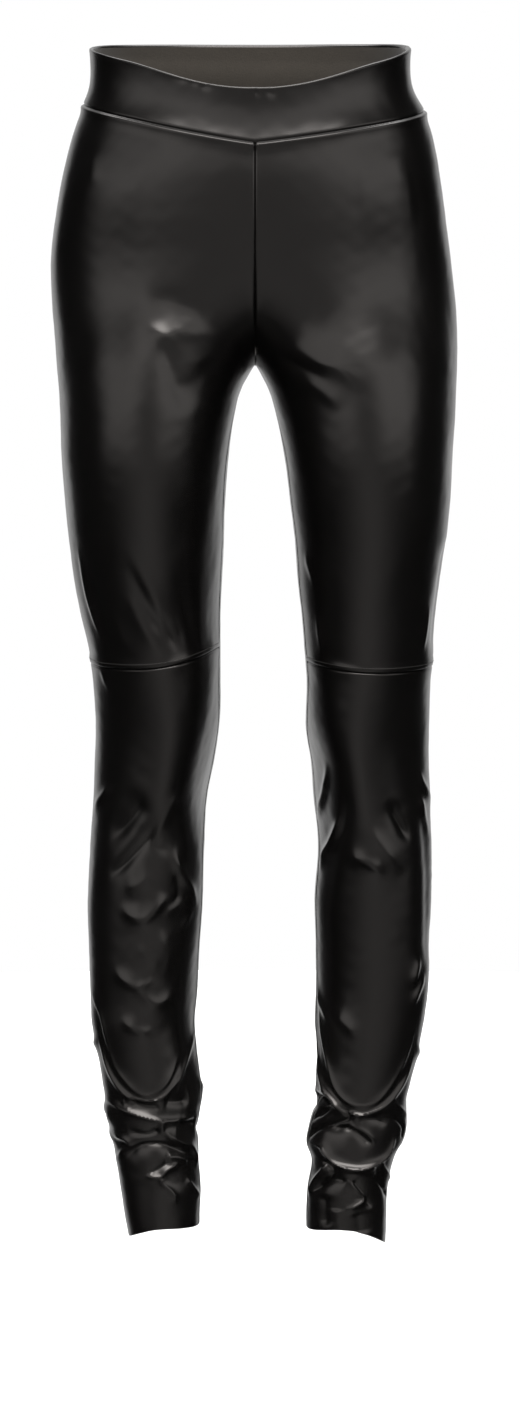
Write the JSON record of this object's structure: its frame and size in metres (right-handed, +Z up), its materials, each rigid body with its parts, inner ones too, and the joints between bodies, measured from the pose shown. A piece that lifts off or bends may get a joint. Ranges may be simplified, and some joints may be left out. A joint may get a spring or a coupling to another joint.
{
  "type": "faux leather leggings",
  "caption": "Close-fitting full-length leggings in faux leather, worn shape, hollow, with a plain waistband, knee seams and bunched ankles",
  "frame": {"origin": "the middle of the waist ring, at the height where the wearer's waist holds the garment", "axes": "+Z up, the garment's front faces -Y, +X is on the wearer's left"},
  "size_m": [0.3374, 0.2355, 1.0071],
  "materials": {
    "leather": "semi-gloss",
    "waistband": "semi-gloss"
  },
  "bodies": {
    "root": {"waistband_front": "waistband", "waistband_back": "waistband", "front_thigh_left": "leather", "front_thigh_right": "leather", "front_shin_left": "leather", "front_shin_right": "leather", "back_left": "leather", "back_right": "leather"}
  },
  "joints": []
}
